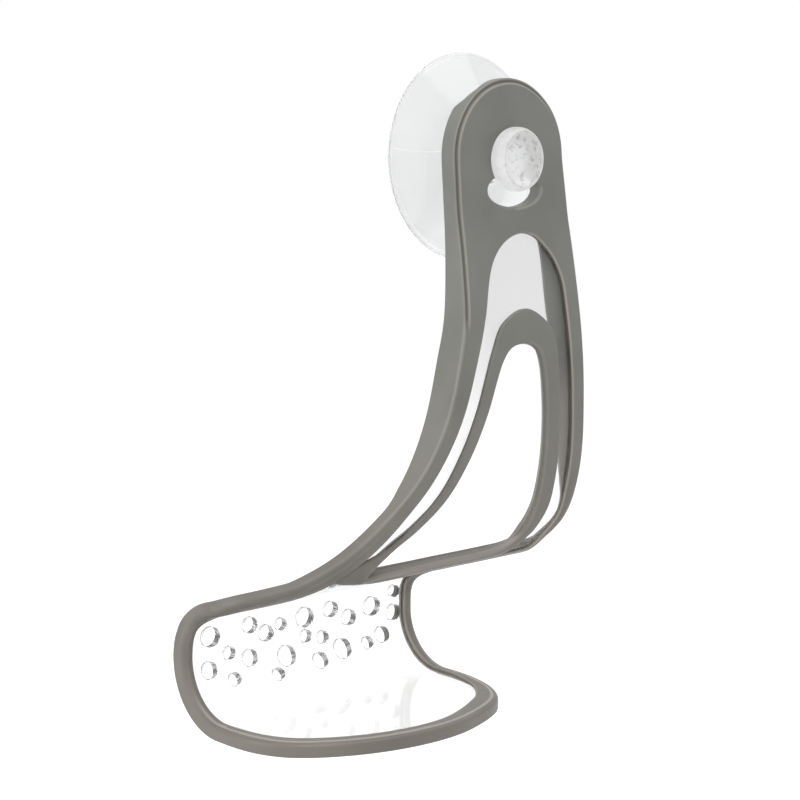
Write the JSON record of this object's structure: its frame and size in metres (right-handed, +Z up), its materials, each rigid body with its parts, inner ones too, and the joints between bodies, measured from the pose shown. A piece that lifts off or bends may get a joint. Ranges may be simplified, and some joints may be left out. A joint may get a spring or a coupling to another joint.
{
  "type": "sponge holder",
  "caption": "Clear sponge tray with a soft grey edge, hung by a keyhole from a suction cup, with a window in its stem and drain holes behind the tray.",
  "frame": {"origin": "centre of the suction cup's rim, in the plane of the wall that it sticks to", "axes": "+X right seen from the front, +Y into the wall along the cup's axis, +Z up"},
  "size_m": [0.1482, 0.0625, 0.1884],
  "materials": {
    "cup": "clear soft vinyl, glossy",
    "stud": "clear soft vinyl, glossy",
    "clear_sheet": "clear polished plastic",
    "soft_trim": "satin soft-touch elastomer"
  },
  "bodies": {
    "cup": {"suction_cup": "cup"},
    "stud": {"cup_stud": "stud"},
    "holder": {"clear_body": "clear_sheet", "outer_trim": "soft_trim", "window_trim": "soft_trim"}
  },
  "joints": [
    {"name": "swivel", "type": "hinge", "parent": "cup", "child": "stud", "pos_m": [0, 0, 0], "axis": [0, -1, 0], "continuous": true},
    {"name": "lift", "type": "slide", "parent": "stud", "child": "holder", "axis": [0, 0, 1], "range_m": [0, 0.01]}
  ]
}
